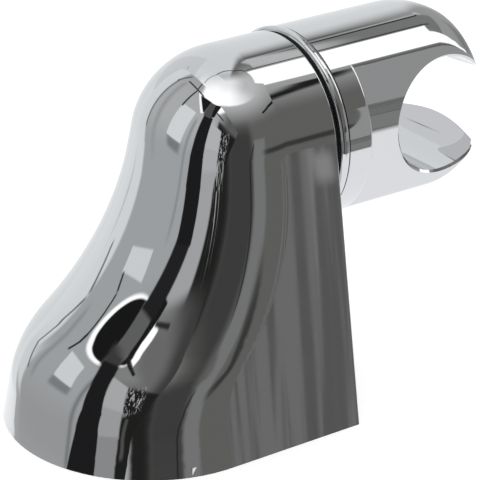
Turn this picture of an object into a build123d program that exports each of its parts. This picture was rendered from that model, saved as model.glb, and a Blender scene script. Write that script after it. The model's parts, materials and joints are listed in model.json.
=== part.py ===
"""Hand shower holder for a wall: a hollow chromed bracket with a swivelling cradle.

Millimetres. The origin is on the wall face, midway between the two wall screws. +Z points out of
the wall and +X along the swivel axis towards the cradle. On a wall Y is vertical and -Y is up.
"""
import os
from math import asin, atan, cos, hypot, isclose, sin, sqrt

from build123d import *

# Bracket: outer form
axis_height = 52.2  # swivel axis above the wall face
joint_x = 29.2  # flat end of the bracket, where the cradle turns
barrel_radius = 18.5  # round top of the bracket
barrel_length = 12.0  # straight barrel between the joint and the domed back
foot_half_width = 28.0  # at the wall face
foot_reach = 30.0  # joint plane to the centre of the foot's rounded end
rim_height = 8.1  # upright rim of the foot, below the back curve
toe_radius = 14.2  # convex part of the back curve
waist_height = 50.8  # where the back curve ends upright, under the dome
section_count = 28  # spans of the loft from the wall face to the barrel; fewer make the rim wavy

# Bracket: cast walls
wall = 2.5
crown_wall = 2.8  # round the barrel, thicker than the flanks
end_wall = 4.0
edge_round = 0.4  # edge of the flat end

# Clearances
running_clearance = 0.05  # between pieces that turn on each other
seat_clearance = 0.03  # between pieces that are pressed or screwed together

# Swivel bush and washers
spigot_radius = 8.0  # cradle's stub that turns in the bush
spigot_end_gap = 0.4
bush_wall = 1.6
bush_length = 8.0
friction_washer_radius = 17.7
friction_washer_thickness = 0.75  # shows as the dark line at the joint
flat_washer_radius = 6.0
flat_washer_thickness = 1.0
spring_radius = 5.6
spring_thickness = 0.6
spring_rise = 0.5

# Swivel screw and its nut
screw_radius = 3.0
screw_clearance = 0.3
screw_tail = 1.0  # thread that stands out behind the nut
head_radius = 5.0
head_height = 3.3
head_round = 1.2
head_sink = 1.6  # head below the wall of the cradle's seat
head_clearance = 0.5
socket_across_flats = 4.0
socket_depth = 2.0
nut_across_flats = 10.0
nut_height = 5.0
nut_clearance = 0.1
web = 2.5  # casting between the bush and the nut
hub_wall = 2.8

# Swivel ring
ring_radius = 19.05
ring_width = 2.0
ring_seat_radius = 12.0
ring_round = 0.85

# Cradle
collar_radius = 18.8
collar_end = 8.3  # joint plane to the shoulder behind the jaws
collar_round = 0.8
jaw_half_width = 14.3  # half thickness of the jaws on the axis
jaw_bulge_radius = 50.0
jaw_edge_round = 1.5  # along the sides of the jaws
nose_start = 28.3  # joint plane to where the nose begins to round
nose_radius = 16.0
nose_tip = 40.1  # joint plane to the nose's shallow domed end
nose_dome_radius = 70.0
nose_edge_round = 4.5
seat_reach = 29.8  # joint plane to the centre of the hand shower's seat
seat_radius = 11.6
seat_rim_bevel = 0.5

# Wall plate
plate_thickness = 5.0
plate_clearance = 0.5
wall_screw_spacing = 26.0
wall_screw_radius = 2.6
wall_screw_head_radius = 5.0

# Lock between the bracket and its plate: a hook on one side, a grub screw on the other
hook_length = 18.0
hook_height = 1.6
hook_reach = 2.2  # under the plate's edge
hook_gap = 0.3
grub_radius = 2.5
grub_height = 4.6
grub_sink = 0.6
grub_point = 0.8
grub_socket_across_flats = 2.5
grub_socket_depth = 2.2
boss_wall = 1.7
boss_length = 3.4
boss_gap = 0.8

# Places that follow from the sizes above
flank_lean = atan(foot_half_width / axis_height) - asin(barrel_radius / hypot(foot_half_width, axis_height))
swivel_axis = Axis((0, 0, axis_height), (1, 0, 0))
dome_x = joint_x - barrel_length
inner_radius = barrel_radius - wall
inner_x = joint_x - end_wall
bush_radius = spigot_radius + running_clearance + bush_wall
hub_radius = bush_radius + seat_clearance + hub_wall
nut_x = joint_x - bush_length - web - nut_height
ring_x = joint_x + friction_washer_thickness + running_clearance
collar_x = ring_x + ring_width
shoulder_x = joint_x + collar_end
nose_x = joint_x + nose_start
tip_x = joint_x + nose_tip
seat_x = joint_x + seat_reach
head_end_x = seat_x - seat_radius - head_sink
head_x = head_end_x - head_height
spring_x = head_x - running_clearance - spring_thickness - spring_rise
washer_x = spring_x - flat_washer_thickness
spigot_x = joint_x - bush_length + spigot_end_gap


def tangent_height(radius):
    """Height where the leaning flanks run into a barrel of this radius."""
    return axis_height + radius * sin(flank_lean)


def flank_half_width(height, radius):
    """Half width at a height between flanks that are tangent to a barrel of this radius."""
    return (radius - (height - axis_height) * sin(flank_lean)) / cos(flank_lean)


def reach_at(height):
    """Joint plane to the centre of the rounded end: upright rim, two tangent arcs, upright."""
    drop = foot_reach - barrel_length
    span = waist_height - rim_height
    turn = 2 * atan(drop / span)
    waist_radius = span / sin(turn) - toe_radius
    rise = height - rim_height
    if rise <= 0:
        return foot_reach
    if rise < toe_radius * sin(turn):
        return foot_reach - toe_radius + sqrt(toe_radius**2 - rise**2)
    if rise < span:
        return barrel_length + waist_radius - sqrt(waist_radius**2 - (span - rise) ** 2)
    return barrel_length


def u_section(height, front_x, centre_x, half_width):
    """U-shaped outline at a height: flat front, straight sides, half-round back."""
    with BuildSketch(Plane.XY.offset(height)) as section:
        with BuildLine():
            CenterArc((centre_x, 0), half_width, 90, 180)
            Polyline(
                (centre_x, -half_width),
                (front_x, -half_width),
                (front_x, half_width),
                (centre_x, half_width),
            )
        make_face()
    return section.sketch


def bracket_form(radius, crown_radius, front_x, floor_z):
    """Domed barrel of one radius above a flared foot, whose flanks are tangent to another."""
    top = tangent_height(radius)
    with BuildPart() as crown:
        with BuildSketch(Plane.XZ):
            with BuildLine():
                CenterArc((dome_x, axis_height), crown_radius, 90, 90)
                Polyline(
                    (dome_x - crown_radius, axis_height),
                    (front_x, axis_height),
                    (front_x, axis_height + crown_radius),
                    (dome_x, axis_height + crown_radius),
                )
            make_face()
        revolve(axis=swivel_axis)
        split(bisect_by=Plane.XY.offset(top), keep=Keep.TOP)
    heights = [floor_z + (top - floor_z) * step / section_count for step in range(section_count + 1)]
    with BuildPart() as form:
        loft([u_section(z, front_x, joint_x - reach_at(z), flank_half_width(z, radius)) for z in heights])
        add(crown.part)
    return form.part


def turned(*profile):
    """Ring or disc turned about the swivel axis from a closed profile of (x, radius) points."""
    with BuildPart() as piece:
        with BuildSketch(Plane.XZ):
            with BuildLine():
                Polyline(*[(x, axis_height + radius) for x, radius in profile], close=True)
            make_face()
        revolve(axis=swivel_axis)
    return piece.part


def tube(start_x, end_x, outer_radius, bore_radius=0):
    """Cylinder or tube on the swivel axis."""
    return turned(
        (start_x, bore_radius), (start_x, outer_radius), (end_x, outer_radius), (end_x, bore_radius)
    )


def hex_prism(start_x, end_x, across_flats):
    """Hexagonal bar on the swivel axis."""
    with BuildPart() as prism:
        with BuildSketch(Plane.YZ.offset(start_x)):
            with Locations((0, axis_height)):
                RegularPolygon(across_flats / 2, 6, major_radius=False)
        extrude(amount=end_x - start_x)
    return prism.part


# Places in the foot, which need the flank's formula
plate_half_width = flank_half_width(plate_thickness, inner_radius) - plate_clearance
hook_end_y = plate_half_width - hook_reach
hook_root_y = flank_half_width(hook_gap, barrel_radius) - wall / 2
boss_end_y = flank_half_width(grub_height, inner_radius) - boss_length
notch_floor_y = boss_end_y - boss_gap
grub_length = flank_half_width(grub_height, barrel_radius) - grub_sink - notch_floor_y

# Bracket body: a cast shell, open towards the wall
with BuildPart() as bracket_body:
    add(bracket_form(barrel_radius, barrel_radius, joint_x, 0))
    end_edges = bracket_body.edges().group_by(Axis.X)[-1]
    fillet(end_edges.filter_by_position(Axis.Z, 0, axis_height * 2, inclusive=(False, True)), edge_round)
    add(bracket_form(inner_radius, barrel_radius - crown_wall, inner_x, -wall), mode=Mode.SUBTRACT)
    # Hub behind the end wall, with the bush's bore, the screw hole and the nut's pocket
    add(tube(nut_x, inner_x + end_wall / 2, hub_radius))
    add(tube(joint_x - bush_length, joint_x, bush_radius + seat_clearance), mode=Mode.SUBTRACT)
    add(tube(nut_x, joint_x, screw_radius + screw_clearance), mode=Mode.SUBTRACT)
    add(hex_prism(nut_x, nut_x + nut_height, nut_across_flats + 2 * nut_clearance), mode=Mode.SUBTRACT)
    # Boss and tapped hole for the grub screw
    with BuildSketch(Plane.XZ.offset(-boss_end_y)):
        with Locations((0, grub_height)):
            Circle(grub_radius + boss_wall)
    extrude(amount=-(boss_length + wall / 2))
    with BuildSketch(Plane.XZ.offset(-boss_end_y)):
        with Locations((0, grub_height)):
            Circle(grub_radius + seat_clearance)
    extrude(amount=-(boss_length + foot_half_width), mode=Mode.SUBTRACT)
    # Hook that reaches under the plate's edge
    with BuildSketch(Plane.XY.offset(hook_gap)):
        with Locations((0, -(hook_root_y + hook_end_y) / 2)):
            Rectangle(hook_length, hook_root_y - hook_end_y)
    extrude(amount=hook_height)

# Wall plate: screwed to the wall first, then hidden by the bracket
with BuildPart() as wall_plate:
    add(u_section(0, inner_x - plate_clearance, joint_x - foot_reach, plate_half_width))
    extrude(amount=plate_thickness)
    with Locations((0, 0, plate_thickness)):
        with GridLocations(wall_screw_spacing, 0, 2, 1):
            CounterSinkHole(wall_screw_radius, wall_screw_head_radius)
    # Notch for the bracket's boss, whose floor the grub screw presses on
    with BuildSketch():
        with Locations((0, notch_floor_y + plate_half_width / 2)):
            Rectangle(2 * (grub_radius + boss_wall + plate_clearance), plate_half_width)
    extrude(amount=plate_thickness, mode=Mode.SUBTRACT)
    # Relief that the bracket's hook goes into
    with BuildSketch():
        with Locations((0, -(hook_end_y - hook_gap + plate_half_width / 2))):
            Rectangle(hook_length + 2 * plate_clearance, plate_half_width)
    extrude(amount=hook_height + 2 * hook_gap, mode=Mode.SUBTRACT)

# Grub screw: locks the bracket on its plate from below
with BuildPart() as grub_screw:
    with BuildSketch(Plane.XZ.offset(-notch_floor_y)):
        with Locations((0, grub_height)):
            Circle(grub_radius)
    extrude(amount=-grub_length)
    chamfer(grub_screw.edges().sort_by(Axis.Y)[0], grub_point)
    with BuildSketch(Plane.XZ.offset(-(notch_floor_y + grub_length))):
        with Locations((0, grub_height)):
            RegularPolygon(grub_socket_across_flats / 2, 6, major_radius=False)
    extrude(amount=grub_socket_depth, mode=Mode.SUBTRACT)

# Swivel bush: pressed into the hub, carries the cradle's spigot
with BuildPart() as pivot_bush:
    add(tube(joint_x - bush_length, joint_x, bush_radius, spigot_radius + running_clearance))

# Friction washer: keeps the chromed faces apart and holds the cradle's tilt
with BuildPart() as friction_washer:
    add(tube(joint_x, joint_x + friction_washer_thickness, friction_washer_radius, bush_radius))

# Swivel ring: chromed bead between the bracket and the collar
with BuildPart() as swivel_ring:
    add(tube(ring_x, collar_x, ring_radius, ring_seat_radius + seat_clearance))
    outer_edges = swivel_ring.edges().filter_by(GeomType.CIRCLE).sort_by(SortBy.RADIUS)[-2:]
    fillet(outer_edges, ring_round)

# Cradle: jaws cut from a turned nose, on a round collar with a spigot
with BuildPart() as cradle:
    with BuildSketch(Plane.XZ) as nose_profile:
        with BuildLine():
            Polyline(
                (nose_x + nose_radius, axis_height + collar_radius - nose_radius),
                (nose_x + nose_radius, axis_height),
                (collar_x, axis_height),
                (collar_x, axis_height + collar_radius),
                (nose_x, axis_height + collar_radius),
            )
            CenterArc((nose_x, axis_height + collar_radius - nose_radius), nose_radius, 0, 90)
        make_face()
        with Locations((tip_x - nose_dome_radius, axis_height)):
            Circle(nose_dome_radius, mode=Mode.INTERSECT)
        fillet(nose_profile.vertices().sort_by(Axis.X)[-2], nose_edge_round)
    revolve(axis=swivel_axis)
    # Sides of the jaws: two shallow arcs that meet above and below the nose
    with BuildSketch(Plane.YZ.offset(collar_x)):
        with Locations((jaw_bulge_radius - jaw_half_width, axis_height)):
            Circle(jaw_bulge_radius)
        with Locations((jaw_half_width - jaw_bulge_radius, axis_height)):
            Circle(jaw_bulge_radius, mode=Mode.INTERSECT)
    extrude(amount=tip_x - collar_x, mode=Mode.INTERSECT)
    faces_by_side = cradle.faces().sort_by(Axis.Y)
    side_edges = faces_by_side[0].edges() + faces_by_side[-1].edges()
    fillet(side_edges.filter_by_position(Axis.X, collar_x, tip_x, inclusive=(False, True)), jaw_edge_round)
    # Collar with a rounded shoulder, step for the ring and spigot for the bush
    with BuildSketch(Plane.XZ):
        with BuildLine():
            Polyline(
                (shoulder_x, axis_height + collar_radius - collar_round),
                (shoulder_x, axis_height),
                (spigot_x, axis_height),
                (spigot_x, axis_height + spigot_radius),
                (ring_x, axis_height + spigot_radius),
                (ring_x, axis_height + ring_seat_radius),
                (collar_x, axis_height + ring_seat_radius),
                (collar_x, axis_height + collar_radius),
                (shoulder_x - collar_round, axis_height + collar_radius),
            )
            CenterArc(
                (shoulder_x - collar_round, axis_height + collar_radius - collar_round), collar_round, 0, 90
            )
        make_face()
    revolve(axis=swivel_axis)
    # Seat for the hand shower: a cross bore that breaks through the nose
    with BuildSketch(Plane.XZ):
        with Locations((seat_x, axis_height)):
            Circle(seat_radius)
    extrude(amount=collar_radius, both=True, mode=Mode.SUBTRACT)
    round_faces = cradle.faces().filter_by(GeomType.CYLINDER)
    seat_wall = round_faces.filter_by(lambda face: face.radius and isclose(face.radius, seat_radius))
    chamfer(seat_wall.edges(), seat_rim_bevel)
    # Screw hole along the swivel axis, with a counterbore for the head
    add(tube(spigot_x, seat_x, screw_radius + screw_clearance), mode=Mode.SUBTRACT)
    add(tube(washer_x, seat_x, flat_washer_radius + head_clearance), mode=Mode.SUBTRACT)

# Flat washer and cone spring under the screw head
with BuildPart() as flat_washer:
    add(tube(washer_x, spring_x, flat_washer_radius, screw_radius + screw_clearance))

with BuildPart() as cone_spring:
    add(
        turned(
            (spring_x, spring_radius),
            (spring_x + spring_thickness, spring_radius),
            (spring_x + spring_thickness + spring_rise, screw_radius + screw_clearance),
            (spring_x + spring_rise, screw_radius + screw_clearance),
        )
    )

# Swivel screw: driven through the open jaws, held by the nut in the bracket's hub
with BuildPart() as pivot_screw:
    add(tube(nut_x - screw_tail, head_x, screw_radius))
    add(tube(head_x, head_end_x, head_radius))
    fillet(pivot_screw.edges().sort_by(Axis.X)[-1], head_round)
    add(hex_prism(head_end_x - socket_depth, head_end_x, socket_across_flats), mode=Mode.SUBTRACT)

with BuildPart() as lock_nut:
    add(hex_prism(nut_x, nut_x + nut_height, nut_across_flats))
    add(tube(nut_x, nut_x + nut_height, screw_radius + seat_clearance), mode=Mode.SUBTRACT)

pieces = {
    "bracket_body": bracket_body,
    "wall_plate": wall_plate,
    "grub_screw": grub_screw,
    "pivot_bush": pivot_bush,
    "friction_washer": friction_washer,
    "swivel_ring": swivel_ring,
    "cradle": cradle,
    "flat_washer": flat_washer,
    "cone_spring": cone_spring,
    "pivot_screw": pivot_screw,
    "lock_nut": lock_nut,
}
os.makedirs("parts", exist_ok=True)
for name, piece in pieces.items():
    piece.part.label = name
    export_step(piece.part, f"parts/{name}.step")
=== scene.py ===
"""Looks of a chromed hand shower holder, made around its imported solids.

Metres, in the part's own frame: the wall face is the floor here, +Z points out of the wall and
+X along the swivel axis towards the cradle.
"""
import json
from math import cos, pi, radians, sin, tan, tau

import bmesh
import bpy
from mathutils import Matrix, Vector


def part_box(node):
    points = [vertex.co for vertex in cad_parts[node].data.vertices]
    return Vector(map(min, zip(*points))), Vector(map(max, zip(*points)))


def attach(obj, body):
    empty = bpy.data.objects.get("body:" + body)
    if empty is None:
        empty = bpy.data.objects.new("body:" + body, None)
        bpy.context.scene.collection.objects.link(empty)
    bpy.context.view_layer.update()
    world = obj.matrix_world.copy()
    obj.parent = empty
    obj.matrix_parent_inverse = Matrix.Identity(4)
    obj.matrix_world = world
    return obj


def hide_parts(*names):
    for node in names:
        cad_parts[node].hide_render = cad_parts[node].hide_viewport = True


bl_info = {
    "name": "Hand Shower Holder",
    "version": (1, 0, 0),
    "blender": (4, 5, 0),
    "location": "View3D > Sidebar > Holder",
    "description": "Finishes, threaded fasteners and studio for a chromed wall holder with a cradle",
    "category": "Object",
}

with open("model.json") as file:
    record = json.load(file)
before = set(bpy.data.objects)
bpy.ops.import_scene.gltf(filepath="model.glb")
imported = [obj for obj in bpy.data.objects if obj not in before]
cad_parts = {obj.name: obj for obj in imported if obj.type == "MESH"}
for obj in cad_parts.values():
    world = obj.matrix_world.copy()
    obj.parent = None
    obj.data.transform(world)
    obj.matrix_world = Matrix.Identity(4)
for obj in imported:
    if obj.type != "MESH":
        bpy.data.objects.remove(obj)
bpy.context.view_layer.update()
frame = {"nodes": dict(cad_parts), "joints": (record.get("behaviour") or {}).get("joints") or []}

MM = 0.001
SWIVEL_HEIGHT = frame["joints"][0]["pos_m"][2]

# Meshes of the fasteners
SEGMENTS = 48  # round an axis; a multiple of 6, so that hexagons keep their corners
RINGS_PER_TURN = 8  # along a thread
THREAD_DEPTH = 0.61  # share of the pitch
THREAD_FLAT = 0.15  # share of a ridge that is flat, at its top and at its foot
EDGE_STEPS = 6  # over a rounded edge
CHAMFER_STEPS = 4  # over a nut's chamfer
FIT = 0.02 * MM  # inside the solid that a fastener stands for
SHARP_ANGLE = radians(32)

# Turns of Blender's wave texture in one unit of length at scale 1
WAVE_TURNS = 20 / tau

# Sockets of a mix node for colours, by number because their names are shared with its other kinds
FACTOR, COLOUR_A, COLOUR_B = 0, 6, 7
MIXED_COLOUR = 2


def linear(hex_colour):
    """Linear RGB of an sRGB hex colour such as #c8cacc."""
    channels = [int(hex_colour[i : i + 2], 16) / 255 for i in (1, 3, 5)]
    return tuple(c / 12.92 if c <= 0.04045 else ((c + 0.055) / 1.055) ** 2.4 for c in channels)


def add_node(tree, kind, inputs=None, **settings):
    """Adds a node with its settings. An input given as a socket is linked, any other is set."""
    made = tree.nodes.new(kind)
    for name, value in settings.items():
        setattr(made, name, value)
    for key, value in (inputs or {}).items():
        if isinstance(value, bpy.types.NodeSocket):
            tree.links.new(value, made.inputs[key])
        else:
            made.inputs[key].default_value = value
    return made


def new_material(name, constants, kind="ShaderNodeBsdfPrincipled"):
    """Material whose shader has the constants on its own sockets, as (material, tree, shader)."""
    material = bpy.data.materials.new(name)
    material.use_nodes = True
    tree = material.node_tree
    tree.nodes.clear()
    shader = add_node(tree, kind, constants)
    add_node(tree, "ShaderNodeOutputMaterial", {"Surface": shader.outputs[0]})
    return material, tree, shader


def dress(material, *node_names):
    """Gives solids of the frame their finish."""
    for name in node_names:
        mesh = frame["nodes"][name].data
        mesh.materials.clear()
        mesh.materials.append(material)


class HolderFinish(bpy.types.PropertyGroup):
    """Colours and surface sizes of the holder's finishes."""

    chrome_colour: bpy.props.FloatVectorProperty(
        name="Chrome",
        description="Tint of the plated mirror",
        subtype="COLOR",
        min=0,
        max=1,
        default=linear("#cfd0d1"),
    )
    chrome_roughness: bpy.props.FloatProperty(
        name="Chrome roughness",
        description="Haze left by the last buff",
        subtype="FACTOR",
        min=0,
        max=1,
        default=0.025,
    )
    buffing_wave: bpy.props.FloatProperty(
        name="Buffing wave",
        description="Width of the shallow waves that the buffing wheel leaves under the plate",
        unit="LENGTH",
        min=0.001,
        default=12 * MM,
    )
    buffing_stroke: bpy.props.FloatProperty(
        name="Buffing stroke",
        description="Length of those waves, from the foot to the barrel",
        unit="LENGTH",
        min=0.001,
        default=70 * MM,
    )
    buffing_depth: bpy.props.FloatProperty(
        name="Buffing depth",
        description="Depth of those waves",
        unit="LENGTH",
        min=0,
        default=0.012 * MM,
    )
    zinc_light: bpy.props.FloatVectorProperty(
        name="Zinc, light",
        description="Bare casting where the melt ran freely",
        subtype="COLOR",
        min=0,
        max=1,
        default=linear("#9b9da0"),
    )
    zinc_dark: bpy.props.FloatVectorProperty(
        name="Zinc, dark",
        description="Bare casting where the melt chilled",
        subtype="COLOR",
        min=0,
        max=1,
        default=linear("#7d7f82"),
    )
    steel_colour: bpy.props.FloatVectorProperty(
        name="Stainless steel",
        description="Screws, nut, washer and spring",
        subtype="COLOR",
        min=0,
        max=1,
        default=linear("#b6b4b0"),
    )
    acetal_colour: bpy.props.FloatVectorProperty(
        name="Acetal",
        description="Bush",
        subtype="COLOR",
        min=0,
        max=1,
        default=linear("#e9e8e2"),
    )
    nylon_colour: bpy.props.FloatVectorProperty(
        name="Nylon",
        description="Friction washer",
        subtype="COLOR",
        min=0,
        max=1,
        default=linear("#141415"),
    )


class HolderFasteners(bpy.types.PropertyGroup):
    """Sizes of the threads, heads and sockets."""

    screw_diameter: bpy.props.FloatProperty(
        name="Swivel screw",
        description="Outside diameter of the swivel screw's thread",
        unit="LENGTH",
        min=0.001,
        default=6 * MM,
    )
    screw_pitch: bpy.props.FloatProperty(
        name="Swivel screw pitch",
        description="Distance between the ridges of the swivel screw's thread",
        unit="LENGTH",
        min=0.0001,
        default=1 * MM,
    )
    threaded_length: bpy.props.FloatProperty(
        name="Threaded length",
        description="Part of the swivel screw that is threaded",
        unit="LENGTH",
        min=0.001,
        default=18 * MM,
    )
    head_height: bpy.props.FloatProperty(
        name="Head height",
        description="Height of the swivel screw's head",
        unit="LENGTH",
        min=0.001,
        default=3.3 * MM,
    )
    head_round: bpy.props.FloatProperty(
        name="Head round",
        description="Radius of the head's upper edge",
        unit="LENGTH",
        min=0,
        default=1.2 * MM,
    )
    head_socket: bpy.props.FloatProperty(
        name="Head socket",
        description="Hexagon of the swivel screw's head, across its flats",
        unit="LENGTH",
        min=0.0005,
        default=4 * MM,
    )
    head_socket_depth: bpy.props.FloatProperty(
        name="Head socket depth",
        description="Depth of the hexagon in the swivel screw's head",
        unit="LENGTH",
        min=0,
        default=2 * MM,
    )
    grub_pitch: bpy.props.FloatProperty(
        name="Lock screw pitch",
        description="Distance between the ridges of the lock screw's thread",
        unit="LENGTH",
        min=0.0001,
        default=0.8 * MM,
    )
    grub_socket: bpy.props.FloatProperty(
        name="Lock screw socket",
        description="Hexagon of the lock screw, across its flats",
        unit="LENGTH",
        min=0.0005,
        default=2.5 * MM,
    )
    grub_socket_depth: bpy.props.FloatProperty(
        name="Lock screw socket depth",
        description="Depth of the hexagon in the lock screw",
        unit="LENGTH",
        min=0,
        default=2.2 * MM,
    )


class HolderStudio(bpy.types.PropertyGroup):
    """Floor, light and camera."""

    floor_colour: bpy.props.FloatVectorProperty(
        name="Floor",
        description="Colour of the plain floor",
        subtype="COLOR",
        min=0,
        max=1,
        default=linear("#f7f7f7"),
    )
    floor_size: bpy.props.FloatProperty(
        name="Floor size",
        description="Side of the square floor",
        unit="LENGTH",
        min=0.5,
        default=6.0,
    )
    floor_glow: bpy.props.FloatProperty(
        name="Floor glow",
        description="Light of its own that washes the floor's shadow out",
        min=0,
        default=0.3,
    )
    light_strength: bpy.props.FloatProperty(
        name="Soft light",
        description="Strength of the even light from the white room",
        min=0,
        default=1.06,
    )
    mirror_strength: bpy.props.FloatProperty(
        name="Mirrored studio",
        description="Strength of the tent, lamps and cards that the chrome mirrors",
        min=0,
        default=1.62,
    )
    lens: bpy.props.FloatProperty(
        name="Lens",
        description="Focal length for a square frame of 36 mm",
        subtype="DISTANCE_CAMERA",
        min=1,
        default=203.0,
    )


class HOLDER_OT_castings(bpy.types.Operator):
    """Chrome the bracket, the swivel ring and the cradle."""

    bl_idname = "holder.castings"
    bl_label = "Chromed castings"

    def execute(self, context):
        finish = context.scene.holder_finish
        # Chrome plate over a buffed zinc casting: a hard, clean mirror. The buffing wheel leaves very
        # shallow waves along its strokes that bend the reflections a little, and wiping leaves a thin
        # haze in patches.
        chrome, tree, shader = new_material(
            "chrome plate, mirror buffed", {"Base Color": (*finish.chrome_colour, 1), "Metallic": 1.0}
        )
        place = add_node(tree, "ShaderNodeTexCoord").outputs["Object"]
        stroke = add_node(
            tree,
            "ShaderNodeMapping",
            {
                "Vector": place,
                "Scale": (1 / finish.buffing_wave, 1 / finish.buffing_wave, 1 / finish.buffing_stroke),
            },
        )
        waves = add_node(
            tree,
            "ShaderNodeTexNoise",
            {"Vector": stroke.outputs[0], "Scale": 1.0, "Detail": 1.0, "Roughness": 0.4},
        )
        bump = add_node(
            tree,
            "ShaderNodeBump",
            {"Height": waves.outputs[0], "Distance": finish.buffing_depth, "Strength": 1.0},
        )
        haze_patch = 6 * MM
        haze = add_node(
            tree, "ShaderNodeTexNoise", {"Vector": place, "Scale": 1 / haze_patch, "Detail": 4.0}
        )
        rough = add_node(
            tree,
            "ShaderNodeMapRange",
            {
                "Value": haze.outputs[0],
                "From Min": 0.3,
                "From Max": 0.7,
                "To Min": finish.chrome_roughness * 0.6,
                "To Max": finish.chrome_roughness * 1.5,
            },
        )
        tree.links.new(rough.outputs[0], shader.inputs["Roughness"])
        tree.links.new(bump.outputs[0], shader.inputs["Normal"])
        dress(chrome, "bracket_body", "swivel_ring", "cradle")
        return {"FINISHED"}


class HOLDER_OT_wall_plate(bpy.types.Operator):
    """Finish the wall plate as bare die-cast zinc."""

    bl_idname = "holder.wall_plate"
    bl_label = "Wall plate"

    def execute(self, context):
        finish = context.scene.holder_finish
        # Die-cast zinc, left bare: a satin grey, mottled by flow marks where the melt met the cold die,
        # with a fine grain from the die's own skin.
        zinc, tree, shader = new_material("zinc, die-cast", {"Metallic": 1.0})
        place = add_node(tree, "ShaderNodeTexCoord").outputs["Object"]
        flow_mark = 7 * MM
        flow = add_node(
            tree,
            "ShaderNodeTexNoise",
            {"Vector": place, "Scale": 1 / flow_mark, "Detail": 5.0, "Distortion": 1.2},
        )
        colour = add_node(
            tree,
            "ShaderNodeMix",
            {
                FACTOR: flow.outputs[0],
                COLOUR_A: (*finish.zinc_dark, 1),
                COLOUR_B: (*finish.zinc_light, 1),
            },
            data_type="RGBA",
        )
        # The grain of about 0.1 mm is drawn at 0.4 mm, which a close view can show
        grain_size, grain_depth = 0.4 * MM, 0.03 * MM
        grain = add_node(
            tree, "ShaderNodeTexNoise", {"Vector": place, "Scale": 1 / grain_size, "Detail": 2.0}
        )
        rough = add_node(
            tree, "ShaderNodeMapRange", {"Value": flow.outputs[0], "To Min": 0.36, "To Max": 0.56}
        )
        bump = add_node(
            tree,
            "ShaderNodeBump",
            {"Height": grain.outputs[0], "Distance": grain_depth, "Strength": 0.6},
        )
        tree.links.new(colour.outputs[MIXED_COLOUR], shader.inputs["Base Color"])
        tree.links.new(rough.outputs[0], shader.inputs["Roughness"])
        tree.links.new(bump.outputs[0], shader.inputs["Normal"])
        dress(zinc, "wall_plate")
        return {"FINISHED"}


class HOLDER_OT_plastics(bpy.types.Operator):
    """Finish the bush and the friction washer as moulded plastic."""

    bl_idname = "holder.plastics"
    bl_label = "Bush and friction washer"

    def execute(self, context):
        finish = context.scene.holder_finish
        # Moulded acetal: dense and milky white, with a waxy gloss that follows the mould's skin.
        acetal, tree, shader = new_material(
            "acetal, moulded",
            {
                "Base Color": (*finish.acetal_colour, 1),
                "Subsurface Weight": 0.2,
                "Subsurface Scale": 1 * MM,
            },
        )
        self.skin(tree, shader, grain_size=0.8 * MM, roughness=(0.32, 0.46), depth=0.004 * MM)
        dress(acetal, "pivot_bush")
        # Moulded black nylon: near black and dull, with a fine matt grain.
        nylon, tree, shader = new_material(
            "nylon, moulded black", {"Base Color": (*finish.nylon_colour, 1), "Specular IOR Level": 0.4}
        )
        self.skin(tree, shader, grain_size=0.3 * MM, roughness=(0.5, 0.66), depth=0.01 * MM)
        dress(nylon, "friction_washer")
        return {"FINISHED"}

    def skin(self, tree, shader, grain_size, roughness, depth):
        """Grain of a mould's surface, in the gloss and as a shallow relief."""
        place = add_node(tree, "ShaderNodeTexCoord").outputs["Object"]
        grain = add_node(
            tree, "ShaderNodeTexNoise", {"Vector": place, "Scale": 1 / grain_size, "Detail": 3.0}
        )
        rough = add_node(
            tree,
            "ShaderNodeMapRange",
            {"Value": grain.outputs[0], "To Min": roughness[0], "To Max": roughness[1]},
        )
        bump = add_node(
            tree, "ShaderNodeBump", {"Height": grain.outputs[0], "Distance": depth, "Strength": 1.0}
        )
        tree.links.new(rough.outputs[0], shader.inputs["Roughness"])
        tree.links.new(bump.outputs[0], shader.inputs["Normal"])


def hexagon(across_flats):
    """Radius of a hexagon by the angle, with a corner at angle 0."""
    return lambda angle: across_flats / 2 / cos(angle % (pi / 3) - pi / 6)


def thread(start, end, pitch, crest_radius):
    """Rings of a thread whose ridges run out at both ends."""
    depth = THREAD_DEPTH * pitch

    def ring(along):
        run_out = min(1, (along - start) / pitch, (end - along) / pitch)

        def radius(angle):
            ridge = abs(2 * ((along / pitch - angle / tau) % 1) - 1)
            flat_topped = min(max((1 + 2 * THREAD_FLAT) * ridge - THREAD_FLAT, 0), 1)
            return crest_radius - depth * (1 - run_out * flat_topped)

        return along, radius

    count = round((end - start) / pitch * RINGS_PER_TURN)
    return [ring(start + (end - start) * step / count) for step in range(count + 1)]


def hex_socket(mouth, depth, across_flats):
    """Rings of a hexagonal socket with a countersunk mouth and the drill's cone in its floor."""
    corner = across_flats / 2 / cos(pi / 6)
    countersink, countersink_depth = 0.15 * MM, 0.25 * MM
    cone, cone_tip, cone_depth = 0.45 * across_flats, 0.2 * MM, 0.4 * MM
    return [
        (mouth, corner + countersink),
        (mouth - countersink_depth, hexagon(across_flats - 2 * FIT)),
        (mouth - depth, hexagon(across_flats - 2 * FIT)),
        (mouth - depth, cone),
        (mouth - depth - cone_depth, cone_tip),
    ]


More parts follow.
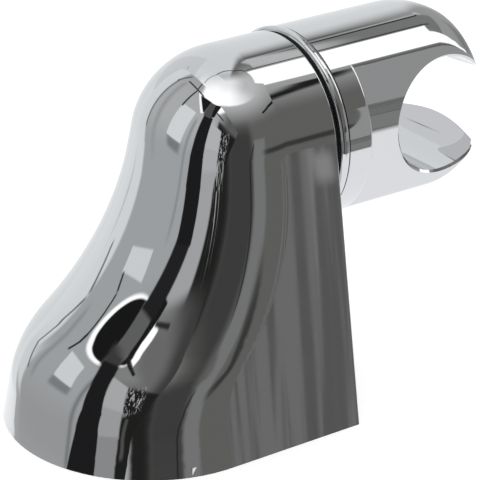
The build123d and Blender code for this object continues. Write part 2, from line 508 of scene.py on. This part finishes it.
def lathe(name, rings, placement, hollow=False):
    """Turned piece from rings of (along, radius), where a radius may be a function of the angle."""
    shape = bmesh.new()
    loops = []
    for along, radius in rings:
        angles = [tau * step / SEGMENTS for step in range(SEGMENTS)]
        reach = [radius(angle) if callable(radius) else radius for angle in angles]
        points = [Vector((along, r * cos(angle), r * sin(angle))) for r, angle in zip(reach, angles)]
        loops.append([shape.verts.new(placement @ point) for point in points])
    following = loops[1:] + loops[:1] if hollow else loops[1:]
    for near, far in zip(loops, following):
        for step in range(SEGMENTS):
            after = (step + 1) % SEGMENTS
            shape.faces.new((near[step], near[after], far[after], far[step]))
    if not hollow:
        shape.faces.new(loops[0])
        shape.faces.new(loops[-1])
    bmesh.ops.recalc_face_normals(shape, faces=shape.faces)
    mesh = bpy.data.meshes.new(name)
    shape.to_mesh(mesh)
    shape.free()
    mesh.shade_smooth()
    mesh.set_sharp_from_angle(angle=SHARP_ANGLE)
    piece = bpy.data.objects.new(name, mesh)
    bpy.context.scene.collection.objects.link(piece)
    return piece


class HOLDER_OT_fasteners(bpy.types.Operator):
    """Make the swivel screw, its nut and the lock screw, and finish the washer and the spring."""

    bl_idname = "holder.fasteners"
    bl_label = "Screws, nut and washers"

    def execute(self, context):
        sizes = context.scene.holder_fasteners
        finish = context.scene.holder_finish
        on_swivel = Matrix.Translation((0, 0, SWIVEL_HEIGHT))
        steel = self.turned_steel(finish)
        screw = lathe("threaded_pivot_screw", self.screw_rings(sizes), on_swivel)
        nut = lathe("chamfered_lock_nut", self.nut_rings(sizes), on_swivel, hollow=True)
        low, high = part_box("grub_screw")
        centre = (low + high) / 2
        along_y = Matrix(((0, 1, 0), (1, 0, 0), (0, 0, -1))).to_4x4()
        grub = lathe(
            "threaded_grub_screw",
            self.grub_rings(sizes, low.y, high.y, (high.x - low.x) / 2 - FIT),
            Matrix.Translation((centre.x, 0, centre.z)) @ along_y,
        )
        pieces = (
            (screw, "pivot_screw", steel),
            (nut, "lock_nut", steel),
            (grub, "grub_screw", self.rolled_steel(finish)),
        )
        for piece, node, material in pieces:
            piece.data.materials.append(material)
            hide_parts(node)
            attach(piece, "bracket")
        dress(steel, "flat_washer", "cone_spring")
        return {"FINISHED"}

    def screw_rings(self, sizes):
        """Threaded tail with a bevelled end, shank, rounded head and socket."""
        low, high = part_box("pivot_screw")
        tail, top = low.x, high.x - FIT
        under_head = top - sizes.head_height
        shank = sizes.screw_diameter / 2 - FIT
        root = shank - THREAD_DEPTH * sizes.screw_pitch
        head = (high.y - low.y) / 2 - FIT
        bevel = 0.3 * MM
        thread_end = tail + sizes.threaded_length
        edge = sizes.head_round
        head_edge = [radians(90) * step / EDGE_STEPS for step in range(EDGE_STEPS + 1)]
        return [
            (tail + FIT, root - bevel),
            *thread(tail + bevel, thread_end, sizes.screw_pitch, shank),
            (thread_end + bevel, shank),
            (under_head + FIT, shank),
            (under_head + FIT, head - bevel),
            (under_head + bevel, head),
            *[(top - edge * (1 - sin(turn)), head - edge * (1 - cos(turn))) for turn in head_edge],
            *hex_socket(top, sizes.head_socket_depth, sizes.head_socket),
        ]

    def nut_rings(self, sizes):
        """Hexagon with its corners turned off at both ends, and a threaded bore."""
        low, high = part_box("lock_nut")
        start, end = low.x + FIT, high.x - FIT
        across_flats = high.z - low.z - 2 * FIT
        corner = across_flats / 2 / cos(pi / 6)
        bore = sizes.screw_diameter / 2 + 2 * FIT
        mouth = 0.35 * MM
        face_inset = 0.1 * MM
        face = across_flats / 2 - face_inset
        slope = tan(radians(60))
        chamfer = (corner - face) / slope
        depths = [chamfer * step / CHAMFER_STEPS for step in range(CHAMFER_STEPS + 1)]

        def turned_off(depth):
            limit = face + slope * depth
            return lambda angle: min(hexagon(across_flats)(angle), limit)

        inner_crest = bore + THREAD_DEPTH * sizes.screw_pitch
        return [
            (start, bore + mouth),
            *[(start + depth, turned_off(depth)) for depth in depths],
            *[(end - depth, turned_off(depth)) for depth in reversed(depths)],
            (end, bore + mouth),
            *reversed(thread(start + mouth, end - mouth, sizes.screw_pitch, inner_crest)),
        ]

    def grub_rings(self, sizes, start, end, crest):
        """Cup point, thread and socket of the lock screw."""
        root = crest - THREAD_DEPTH * sizes.grub_pitch
        point = 0.8 * MM
        cup_depth, cup_centre = 0.5 * MM, 0.2 * MM
        cup_rim, cup_edge = 1.35 * MM, 1.6 * MM
        return [
            (start + cup_depth, cup_centre),
            (start + FIT, cup_rim),
            (start + FIT, cup_edge),
            *thread(start + point, end - point / 2, sizes.grub_pitch, crest),
            (end - FIT, root),
            *hex_socket(end - FIT, sizes.grub_socket_depth, sizes.grub_socket),
        ]

    def turned_steel(self, finish):
        """Steel of the swivel screw, the nut, the washer and the spring."""
        # Turned stainless steel: a warm grey with fine rings about the axis, left by the tool, and a
        # satin gloss. The tool's marks of about 0.08 mm are drawn at 0.3 mm, which a close view shows.
        steel, tree, shader = new_material(
            "stainless steel, turned", {"Base Color": (*finish.steel_colour, 1), "Metallic": 1.0}
        )
        place = add_node(tree, "ShaderNodeTexCoord").outputs["Object"]
        from_axis = add_node(
            tree, "ShaderNodeMapping", {"Vector": place, "Location": (0, 0, -SWIVEL_HEIGHT)}
        )
        mark = 0.3 * MM
        rings = add_node(
            tree,
            "ShaderNodeTexWave",
            {"Vector": from_axis.outputs[0], "Scale": 1 / (mark * WAVE_TURNS), "Distortion": 0.6},
            wave_type="RINGS",
            rings_direction="X",
        )
        self.satin(tree, shader, place, rings.outputs[1], depth=0.004 * MM)
        return steel

    def rolled_steel(self, finish):
        """Steel of the lock screw."""
        # Thread-rolled stainless steel: burnished by the dies, a little brighter on the ridges, with
        # streaks along the roll.
        steel, tree, shader = new_material(
            "stainless steel, thread rolled", {"Base Color": (*finish.steel_colour, 1), "Metallic": 1.0}
        )
        place = add_node(tree, "ShaderNodeTexCoord").outputs["Object"]
        streak, streak_length = 0.15 * MM, 2 * MM
        along_roll = add_node(
            tree,
            "ShaderNodeMapping",
            {"Vector": place, "Scale": (1 / streak_length, 1 / streak, 1 / streak_length)},
        )
        streaks = add_node(tree, "ShaderNodeTexNoise", {"Vector": along_roll.outputs[0], "Scale": 1.0})
        self.satin(tree, shader, place, streaks.outputs[0], depth=0.003 * MM)
        return steel

    def satin(self, tree, shader, place, marks, depth):
        """Uneven gloss, and tool marks as a shallow relief."""
        film_patch = 1.5 * MM
        film = add_node(
            tree, "ShaderNodeTexNoise", {"Vector": place, "Scale": 1 / film_patch, "Detail": 3.0}
        )
        rough = add_node(
            tree, "ShaderNodeMapRange", {"Value": film.outputs[0], "To Min": 0.2, "To Max": 0.36}
        )
        bump = add_node(tree, "ShaderNodeBump", {"Height": marks, "Distance": depth, "Strength": 1.0})
        tree.links.new(rough.outputs[0], shader.inputs["Roughness"])
        tree.links.new(bump.outputs[0], shader.inputs["Normal"])


# The studio that shows in the chrome: a white tent with an opening behind the camera, painted as panels
# over a grey. Later panels stand in front of earlier ones. Each starts with its name and shape and ends
# with its grey. A box has its place, half its width and height, its turn in degrees and the softness of
# its upright and level edges between them. A disc has the same with one softness, measured upright. Folds
# are soft upright stripes and flecks are small spots, both scattered over a box. A quad has its corners,
# given clockwise, and its softness.

# Far parts of the tent, in degrees of azimuth and elevation: azimuth 0 is -Y and azimuth 90 is +X
TENT_BASE = "#5c5c5a"
TENT_PANELS = (
    # Walls
    ("right wall", "box", 100, 8, 40, 34, 0, 6, 8, "#8e8e8e"),
    ("back wall", "box", 162, 16, 27, 62, 0, 5, 8, "#c8cacb"),
    ("back wall, left half", "box", -172, 16, 17, 62, 0, 2, 8, "#cdcfd0"),
    ("right wall foot", "box", 112, -20, 30, 9, 0, 8, 4, "#c6c8c9"),
    ("shade on the right wall", "box", 109, 8, 10, 6, 0, 5, 5, "#747474"),
    ("left wall", "box", -126, 14, 34, 54, 0, 3, 6, "#97999b"),
    ("left wall foot", "box", -118, -14, 28, 9, 0, 5, 5, "#8e9092"),
    ("corner seam", "box", -154, 9, 0.8, 13, 0, 0.6, 1, "#4a4c4e"),
    # Ceiling
    ("ceiling", "box", 0, 90, 110, 39, 0, 30, 19, "#b4b4b4"),
    ("left of the ceiling", "box", -140, 80, 70, 25, 0, 30, 6, "#cbcccd"),
    ("white ceiling", "box", -66, 75, 70, 14, 0, 46, 1.5, "#ffffff"),
    ("zenith", "box", 0, 90, 400, 9, 0, 1, 9, "#e4e4e4"),
    ("seam over the back", "box", -165, 70.5, 26, 0.5, -8, 2, 0.5, "#7a7a7a"),
    # Opening behind the camera
    ("light gap", "box", -55, 12, 8, 32, 0, 1.5, 3, "#a0a2a3"),
    ("dark", "box", -40, 6, 8, 28, 0, 3, 5, "#20201f"),
    ("dark side", "box", -20, 8, 14, 26, 0, 5, 12, "#3a3a39"),
    ("streak", "quad", ((-3.5, 18), (10.5, 18), (4, -18), (-8.5, -18)), 2.0, "#707070"),
    ("line by the streak", "box", -9.5, -2, 0.6, 16, -19, 0.6, 4, "#242424"),
    ("horizon", "box", 30, 3, 22, 2.5, 0, 6, 1.5, "#363635"),
    ("slit", "box", -70, 16, 8, 34, 0, 0.8, 3, "#1a1a1b"),
    # Strip light over the cradle, bent down at its end, and the seams beside it
    ("line over the barrel", "box", 37, 44.3, 15, 1.0, 6, 1, 0.5, "#141414"),
    ("line's rise", "box", 57, 48, 8, 0.8, 20, 1, 0.5, "#1c1c1c"),
    ("upper grey", "box", 118, 44, 11, 10, 0, 2, 2, "#b0b0b0"),
    ("upper grey over the cradle", "box", 111.4, 41.1, 14, 10, -21, 2, 0.8, "#707070"),
    ("line over the cradle", "box", 125.5, 42, 0.8, 4, 0, 0.5, 1, "#1e1e1e"),
    ("line behind the barrel", "box", 129.5, 44, 1.3, 4, 0, 0.8, 2, "#5c5c5c"),
    ("seam by the strip", "box", 110.5, 55, 0.8, 12, -8, 0.5, 1, "#262626"),
    ("seam's turn", "box", 123, 67.6, 9, 0.7, 20, 1, 0.4, "#262626"),
    ("seam over the barrel", "box", 158, 71.5, 30, 0.6, 3, 2, 0.5, "#3c3c3c"),
    ("strip light", "box", 90, 57, 17, 7, 0, 0.6, 0.8, "#ffffff"),
    ("strip light's end", "quad", ((71, 50), (95.5, 54), (95.5, 12), (63, 12)), 0.8, "#ffffff"),
    # Table
    ("table", "box", 0, -90, 400, 69, 0, 1, 1.2, "#d8d8da"),
    ("table behind", "box", -138, -17, 9, 14, 0, 3, 2, "#d8d8da"),
)

# Near parts of the studio, as cards that only the chrome mirrors. Places on a card are in millimetres
# from its own centre, to its right and up.
BACK_PANELS = (
    # Tent wall with its seams
    ("upper wall", "box", -8, 60, 17, 10, 0, 2, 6, "#a6a7a8"),
    ("lower wall", "box", -8, -12, 17, 9, 0, 3, 8, "#919293"),
    ("far wall", "box", -40, 38, 17, 42, 0, 1.2, 5, "#cbcdce"),
    ("far wall, low", "box", -32, 0, 11, 8, -14, 1.5, 5, "#c5c7c8"),
    ("seam, low end", "box", -22.8, 2.6, 0.5, 4.4, 40, 0.6, 0.6, "#5a5c5e"),
    ("seam, low", "box", -26.0, 9, 0.5, 3.4, -6, 0.6, 0.6, "#525456"),
    ("seam, bend", "box", -24.8, 14.6, 0.5, 3.2, -30, 0.6, 0.6, "#525456"),
    ("seam, waist", "box", -26, 21.6, 0.6, 4.4, 40, 0.6, 0.6, "#5e6062"),
    ("seam, high", "box", -22.6, 58, 0.5, 10, -2, 0.7, 1, "#5a5c5e"),
    ("seam, top", "box", -21.4, 70, 0.5, 3.4, -30, 0.6, 0.6, "#4e5052"),
    ("fold by the seam", "box", -17, 8, 0.8, 9, 8, 1.2, 2, "#858688"),
    ("high fold by the seam", "box", -17, 55, 1.0, 14, 4, 1.3, 2, "#929394"),
    # Windows of light
    ("low window shade", "box", -5, 2.0, 3.6, 1.3, 0, 0.8, 0.8, "#77797b"),
    ("low window", "quad", ((-10.5, 10.8), (-3.6, 10.6), (-1.6, 3.25), (-8.35, 3.45)), 0.25, "#c7c9ca"),
    ("waist window", "quad", ((-14.05, 27.8), (-4.65, 29.6), (-4, 25.5), (-13.5, 24.3)), 0.25, "#c6c8c9"),
    ("high window shade", "quad", ((-10, 50.3), (-3.8, 48.9), (-3.8, 44.6), (-9, 46.6)), 1.1, "#74767a"),
    ("high window", "quad", ((-10.4, 61.7), (-3.8, 62), (-3.9, 49), (-10.4, 50.4)), 0.25, "#cccecf"),
    ("edge of the low slit", "box", 2.6, -5, 0.6, 15, 3, 0.8, 2, "#707274"),
    ("edge of the high slit", "box", -1.2, 46, 0.5, 14, 3, 0.7, 2, "#848688"),
    # Right side
    ("right side", "box", 38, 26, 24, 60, 0, 8, 4, "#3c3c3b"),
    ("low right side", "box", 16, 21, 12, 7, 12, 7, 3, "#666665"),
    ("low right glow", "disc", 8, 16.8, 8, 3.0, 10, 2.4, "#7c7c7c"),
    ("low dark", "quad", ((14, 14), (40, 20), (44, -26), (27, -24)), 1.2, "#1e1e1d"),
    ("low dark's streak", "quad", ((24.5, 0), (26.5, 0), (33, -18), (30, -18)), 0.8, "#4a4a49"),
    ("high dark", "quad", ((9, 66.5), (42, 69), (42, 36), (20, 31.5)), 1.0, "#1e1e1d"),
    ("high side", "box", 30, 72, 17, 5, 5, 10, 2.4, "#585857"),
    ("low gap", "quad", ((4, 14.2), (14, 13.9), (21, 2), (6, 2)), 0.5, "#a2a3a3"),
    ("low gap, middle", "quad", ((6, 2.6), (20.7, 2.6), (26.4, -12), (10, -12)), 0.7, "#969797"),
    ("low gap, foot", "quad", ((10, -11), (26, -11), (29, -26), (12, -26)), 0.8, "#858686"),
    ("high gap", "quad", ((4, 63.2), (14.5, 62.8), (20.5, 50), (7, 50)), 0.5, "#acadae"),
    ("high gap, middle", "quad", ((7, 50.6), (20.2, 50.6), (24.5, 40), (10, 40)), 0.6, "#a5a6a7"),
    ("waist gap", "quad", ((10, 41), (24.3, 41), (20, 31), (9, 27)), 0.9, "#9c9d9e"),
    ("low flecks", "flecks", 22.5, 10, 5.5, 7.5, 28, 1.5, 2, "#9c9c9b"),
    ("high flecks", "flecks", 25.6, 50, 5.4, 15, 22, 1.2, 2, "#a4a4a3"),
    # Lamp behind the tent with its shade and stays, high and low
    ("high lamp", "quad", ((-12.5, 79), (12, 79), (6, 69), (-7.5, 69.3)), 1.2, "#ffffff"),
    ("high rim", "quad", ((-9.5, 69.5), (-7, 69.5), (-0.9, 64), (-2.2, 63)), 0.25, "#f6f6f6"),
    ("bar across", "box", -12, 69.8, 5.8, 0.35, -2, 0.4, 0.2, "#2c2c2c"),
    ("bar across, right end", "box", 8.2, 69.0, 3.4, 0.45, 0, 0.6, 0.25, "#343434"),
    ("high stay", "box", -12.0, 72.6, 0.35, 3.8, 22, 0.2, 0.4, "#484848"),
    ("high stay, lower part", "box", -10.4, 65, 0.35, 4.2, 2, 0.2, 0.4, "#303030"),
    ("high shade", "quad", ((-7.6, 69), (-1.4, 70.8), (-1, 64), (-1.6, 64)), 0.25, "#1a1a1a"),
    ("high shade, right end", "quad", ((1, 71.5), (4.6, 74.5), (4.8, 66), (3, 64.5)), 0.25, "#1c1c1c"),
    ("low lamp", "disc", -1.4, 18.9, 9.0, 5.6, 25, 0.35, "#ffffff"),
    ("low lamp, right end", "quad", ((8.6, 25), (11.2, 25), (8.6, 19.4), (5.4, 19.2)), 0.3, "#ffffff"),
    ("low stay", "box", -10.75, 18, 0.3, 3.8, 0, 0.2, 0.4, "#2e2e2e"),
    ("low stay, upper part", "box", -11.8, 23.2, 0.35, 1.5, 35, 0.2, 0.4, "#303030"),
    ("low stay's end", "box", -11.4, 12.5, 0.35, 2.2, -18, 0.2, 0.3, "#242424"),
    ("low shade", "disc", -0.6, 19.2, 8.2, 5.0, 25, 0.2, "#171717"),
    ("low shade, right end", "quad", ((6.5, 27.5), (10.2, 27.5), (5.2, 18.2), (3.4, 16.6)), 0.2, "#181818"),
    ("right bar", "box", 8.4, 19.1, 2.9, 0.45, 2, 0.3, 0.2, "#222222"),
    ("right line", "box", 12.4, 26, 3.8, 0.3, 19, 0.4, 0.2, "#2a2a2a"),
    # Slit in the tent, which runs up in front of the shades
    ("slit across", "quad", ((0.7, 24.6), (6.6, 25.4), (4, 15.4), (-1, 13.6)), 0.3, "#5c5c5c"),
    ("slit below", "quad", ((-1.3, 17.6), (4.2, 18.2), (5.2, 14.5), (-0.9, 13.2)), 0.9, "#383838"),
    ("slit, dark foot", "quad", ((-0.8, 14.6), (4.7, 16.4), (8.6, 7), (2.7, 6.5)), 0.4, "#1b1b1c"),
    ("slit, bend", "quad", ((2.6, 7), (8.4, 7.4), (12.1, -1.2), (4.7, -1)), 0.25, "#1b1b1c"),
    ("slit, low", "quad", ((4.7, -0.4), (11.8, -0.4), (14.1, -11.4), (4.9, -11.4)), 0.25, "#1b1b1c"),
    ("slit, low end", "quad", ((4.9, -10.6), (13.9, -10.6), (16.8, -24), (3.4, -24)), 0.25, "#1b1b1c"),
    ("slit at the waist", "quad", ((4.2, 33), (12, 34), (6.8, 24.2), (0.6, 23.6)), 0.4, "#202021"),
    ("slit, waist", "quad", ((2.6, 38.6), (11.4, 38.6), (12.1, 33.2), (4.2, 32.2)), 0.25, "#1b1b1c"),
    ("slit, middle", "quad", ((1.6, 51), (8.1, 51), (11.5, 38), (2.6, 38)), 0.25, "#1b1b1c"),
    ("slit, high", "quad", ((-0.4, 64.5), (4.6, 65), (8.2, 50.5), (1.6, 50.5)), 0.25, "#1b1b1c"),
    ("slit, top", "quad", ((-1.6, 70.5), (1.2, 71.7), (3.2, 64), (-0.8, 63.2)), 0.25, "#4a4a4a"),
)
FLANK_PANELS = (
    ("dark fold", "box", -9, -20, 1.3, 60, -6.5, 1.4, 1, "#4c4c4b"),
    ("light fold", "box", -3.6, -20, 1.3, 60, -6.5, 1.4, 1, "#7c7c7b"),
    ("narrow dark fold", "box", 1.2, -10, 0.6, 40, -6.5, 0.8, 1, "#505050"),
    ("folds", "folds", -16, -20, 26, 60, -6.5, 3, 3, "#525251"),
    ("light by the collar", "box", 3.4, 19, 2.6, 4, 0, 1.6, 2.5, "#7e7e7d"),
)
CRADLE_PANELS = (
    ("dark band", "box", 110, 3, 130, 11, 0, 1, 0.4, "#6a6a6a"),
    ("lower part", "box", 110, -28, 130, 20, 0, 1, 0.4, "#757575"),
    ("upper line", "box", 110, 10, 130, 0.5, 0.5, 1, 0.5, "#4a4a4a"),
    ("middle line", "box", 110, 5, 130, 0.4, -0.4, 1, 0.4, "#505050"),
    ("lower line", "box", 110, -9, 130, 0.6, 0, 1, 0.6, "#484848"),
)
BORE_PANELS = (("edge of the wall", "box", -88, 204.3, 4, 2.0, 0, 9, 1.8, "#2a2a2a"),)
# Each card has its name, its centre in millimetres, the azimuth and tilt that it stands at, its corners,
# its grey and its panels
CARDS = (
    (
        "card_back",
        (-30.8, -7.0, 14.9),
        -100,
        26,
        ((-36, -24), (38, -24), (38, 74), (-36, 74)),
        "#9a9c9d",
        BACK_PANELS,
    ),
    (
        "card_flank",
        (170.5, -234.6, 0),
        36,
        0,
        ((-42, -66), (8.8, -66), (8.8, 25), (-42, 25)),
        "#676766",
        FLANK_PANELS,
    ),
    (
        "card_cradle",
        (170.5, -234.6, 0),
        36,
        0,
        ((9, -38), (220, -38), (220, 146), (25, 146), (9, 52)),
        "#898989",
        CRADLE_PANELS,
    ),
    (
        "card_bore",
        (-70.4, 132.4, 0),
        -152,
        0,
        ((-160, 90), (-15, 90), (-15, 280), (-160, 280)),
        "#bfc0c2",
        BORE_PANELS,
    ),
)
# Width and height in millimetres, and the levels of noise at which they start to show and show fully
SCATTERED = {"flecks": (1.1, 3.2, 0.55, 0.6), "folds": (4.0, 160.0, 0.47, 0.6)}

# Camera of the photo's view, in metres
CAMERA_PLACE = (-0.257626, -0.382726, 0.249630)
CAMERA_RIGHT = (0.812595, -0.582673, 0.013459)
CAMERA_UP = (0.235171, 0.348923, 0.907165)


class HOLDER_OT_studio(bpy.types.Operator):
    """Set the floor, the tent and cards that the chrome mirrors, the light and the camera."""

    bl_idname = "holder.studio"
    bl_label = "Studio"

    def execute(self, context):
        studio = context.scene.holder_studio
        self.lay_floor(context, studio)
        for card in CARDS:
            self.stand_card(context, studio, *card)
        self.light_room(context, studio)
        self.place_camera(context, studio)
        return {"FINISHED"}

    def add_sheet(self, context, name, corners, material):
        """Flat sheet between corners, which isn't part of the holder."""
        mesh = bpy.data.meshes.new(name)
        mesh.from_pydata(corners, [], [range(len(corners))])
        mesh.materials.append(material)
        sheet = bpy.data.objects.new(name, mesh)
        context.scene.collection.objects.link(sheet)
        return sheet

    def lay_floor(self, context, studio):
        """White floor, which stands for the wall here."""
        half = studio.floor_size / 2
        corners = [(-half, -half, 0), (half, -half, 0), (half, half, 0), (-half, half, 0)]
        # Matt white paper: no gloss, and even all over
        paper, _, _ = new_material(
            "paper, matt white",
            {
                "Base Color": (*studio.floor_colour, 1),
                "Roughness": 0.9,
                "Emission Color": (1, 1, 1, 1),
                "Emission Strength": studio.floor_glow,
            },
        )
        floor = self.add_sheet(context, "studio_floor", corners, paper)
        # The chrome mirrors the tent's own table instead, which ends near the holder
        floor.visible_glossy = False

    def stand_card(self, context, studio, name, centre, azimuth, tilt, corners, grey, panels):
        """Painted card that faces back along its azimuth and tilt."""
        turn, lean = radians(azimuth), radians(tilt)
        away = Vector((cos(lean) * sin(turn), -cos(lean) * cos(turn), sin(lean)))
        across = Vector((cos(turn), sin(turn), 0))
        # Painted paper, lit from behind: flat greys that glow, with soft edges
        painted, tree, shader = new_material(
            "paper, painted and backlit", {"Strength": studio.mirror_strength}, kind="ShaderNodeEmission"
        )
        place = add_node(tree, "ShaderNodeTexCoord").outputs["Object"]
        tree.links.new(self.paint(tree, place, grey, panels), shader.inputs["Color"])
        card = self.add_sheet(context, "studio_" + name, [(*corner, 0) for corner in corners], painted)
        axes = Matrix((across, away.cross(across), away)).transposed().to_4x4()
        card.matrix_world = Matrix.Translation(Vector(centre) * MM) @ axes @ Matrix.Scale(MM, 4)
        # Only the chrome sees the cards
        card.visible_camera = False
        card.visible_diffuse = False
        card.visible_shadow = False
        card.visible_transmission = False

    def light_room(self, context, studio):
        """World that lights evenly and that the chrome mirrors as the tent."""
        world = bpy.data.worlds.new("studio")
        context.scene.world = world
        world.use_nodes = True
        tree = world.node_tree
        tree.nodes.clear()
        tent = self.paint(tree, self.sky_angles(tree), TENT_BASE, TENT_PANELS)
        mirrored = add_node(
            tree, "ShaderNodeBackground", {"Color": tent, "Strength": studio.mirror_strength}
        )
        even = add_node(
            tree, "ShaderNodeBackground", {"Color": (1, 1, 1, 1), "Strength": studio.light_strength}
        )
        glossy = add_node(tree, "ShaderNodeLightPath").outputs["Is Glossy Ray"]
        room = add_node(
            tree, "ShaderNodeMixShader", {0: glossy, 1: even.outputs[0], 2: mirrored.outputs[0]}
        )
        add_node(tree, "ShaderNodeOutputWorld", {"Surface": room.outputs[0]})

    def sky_angles(self, tree):
        """Azimuth and elevation of a direction in degrees, as the x and y of a vector."""
        direction = add_node(tree, "ShaderNodeTexCoord").outputs["Generated"]
        axes = add_node(tree, "ShaderNodeSeparateXYZ", {0: direction})
        towards = add_node(tree, "ShaderNodeMath", {0: axes.outputs[1], 1: -1.0}, operation="MULTIPLY")
        angles = (
            add_node(
                tree, "ShaderNodeMath", {0: axes.outputs[0], 1: towards.outputs[0]}, operation="ARCTAN2"
            ),
            add_node(tree, "ShaderNodeMath", {0: axes.outputs[2]}, operation="ARCSINE"),
        )
        degrees = [
            add_node(tree, "ShaderNodeMath", {0: angle.outputs[0]}, operation="DEGREES").outputs[0]
            for angle in angles
        ]
        return add_node(tree, "ShaderNodeCombineXYZ", {0: degrees[0], 1: degrees[1]}).outputs[0]

    def paint(self, tree, place, grey, panels):
        """Colour of a base grey with panels laid over it one after the other."""
        seen = (*linear(grey), 1)
        for name, shape, *form, panel_grey in panels:
            if shape == "quad":
                limits = self.quad_limits(tree, place, *form)
            else:
                limits = self.box_limits(tree, place, shape, *form)
            shown = self.overlap(tree, limits)
            seen = add_node(
                tree,
                "ShaderNodeMix",
                {FACTOR: shown, COLOUR_A: seen, COLOUR_B: (*linear(panel_grey), 1)},
                data_type="RGBA",
                label=name,
            ).outputs[MIXED_COLOUR]
        return seen

    def overlap(self, tree, limits):
        """Where all limits hold: the product of smooth steps from 0 at each start to 1 at its end."""
        shown = 1.0
        for value, start, end in limits:
            shown = add_node(
                tree,
                "ShaderNodeMapRange",
                {"Value": value, "From Min": start, "From Max": end, "To Max": shown},
                interpolation_type="SMOOTHSTEP",
            ).outputs[0]
        return shown

    def quad_limits(self, tree, place, corners, soft):
        """Limits at the four sides of a quad, as (value, start, end)."""
        limits = []
        for start, end in zip(corners, corners[1:] + corners[:1]):
            along = Vector(end) - Vector(start)
            inward = Vector((along.y, -along.x, 0)).normalized()
            inside = add_node(tree, "ShaderNodeVectorMath", {0: place, 1: inward}, operation="DOT_PRODUCT")
            edge = inward.x * start[0] + inward.y * start[1]
            limits.append((inside.outputs[1], edge - soft, edge + soft))
        return limits

    def box_limits(self, tree, place, shape, across, up, half_width, half_height, turn, *edges):
        """Limits of a box or disc, or of what is scattered over a box, as (value, start, end)."""
        local = add_node(
            tree,
            "ShaderNodeMapping",
            {
                "Vector": place,
                "Location": (across, up, 0),
                "Rotation": (0, 0, radians(turn)),
                "Scale": (half_width, half_height, 1),
            },
            vector_type="TEXTURE",
        ).outputs[0]
        if shape == "disc":
            measures = [add_node(tree, "ShaderNodeVectorMath", {0: local}, operation="LENGTH").outputs[1]]
            softness = [edges[0] / half_height]
        else:
            sides = add_node(tree, "ShaderNodeVectorMath", {0: local}, operation="ABSOLUTE")
            measures = add_node(tree, "ShaderNodeSeparateXYZ", {0: sides.outputs[0]}).outputs[:2]
            softness = [edges[0] / half_width, edges[1] / half_height]
        limits = [(value, 1 + soft, 1 - soft) for value, soft in zip(measures, softness)]
        if shape in SCATTERED:
            width, height, start, end = SCATTERED[shape]
            spread = add_node(
                tree,
                "ShaderNodeMapping",
                {"Vector": local, "Scale": (half_width / width, half_height / height, 1)},
            )
            noise = add_node(
                tree,
                "ShaderNodeTexNoise",
                {"Vector": spread.outputs[0], "Scale": 1.0, "Detail": 2.0, "Distortion": 0.8},
            )
            limits.append((noise.outputs[0], start, end))
        return limits

    def place_camera(self, context, studio):
        """Camera at the photo's view."""
        data = bpy.data.cameras.new("camera")
        data.lens = studio.lens
        data.sensor_width = 36.0
        data.clip_start = 0.01
        camera = bpy.data.objects.new("camera", data)
        context.scene.collection.objects.link(camera)
        right, up = Vector(CAMERA_RIGHT), Vector(CAMERA_UP)
        turn = Matrix((right, up, right.cross(up))).transposed().to_4x4()
        camera.matrix_world = Matrix.Translation(CAMERA_PLACE) @ turn
        context.scene.camera = camera
        context.scene.view_settings.view_transform = "Standard"


class HOLDER_PT_panel(bpy.types.Panel):
    """Sidebar panel with the holder's settings and steps."""

    bl_label = "Hand Shower Holder"
    bl_idname = "HOLDER_PT_panel"
    bl_space_type = "VIEW_3D"
    bl_region_type = "UI"
    bl_category = "Holder"

    def draw(self, context):
        layout = self.layout
        scene = context.scene
        for group in (scene.holder_finish, scene.holder_fasteners, scene.holder_studio):
            for name in group.bl_rna.properties.keys():
                if name not in ("rna_type", "name"):
                    layout.prop(group, name)
        for step in STEPS:
            layout.operator(step.bl_idname)


STEPS = (
    HOLDER_OT_castings,
    HOLDER_OT_wall_plate,
    HOLDER_OT_plastics,
    HOLDER_OT_fasteners,
    HOLDER_OT_studio,
)
CLASSES = (HolderFinish, HolderFasteners, HolderStudio, *STEPS, HOLDER_PT_panel)


def register():
    for cls in CLASSES:
        bpy.utils.register_class(cls)
    bpy.types.Scene.holder_finish = bpy.props.PointerProperty(type=HolderFinish)
    bpy.types.Scene.holder_fasteners = bpy.props.PointerProperty(type=HolderFasteners)
    bpy.types.Scene.holder_studio = bpy.props.PointerProperty(type=HolderStudio)


def unregister():
    del bpy.types.Scene.holder_studio
    del bpy.types.Scene.holder_fasteners
    del bpy.types.Scene.holder_finish
    for cls in reversed(CLASSES):
        bpy.utils.unregister_class(cls)


def main():
    register()
    bpy.ops.holder.castings()
    bpy.ops.holder.wall_plate()
    bpy.ops.holder.plastics()
    bpy.ops.holder.fasteners()
    bpy.ops.holder.studio()


if __name__ == "__main__":
    main()
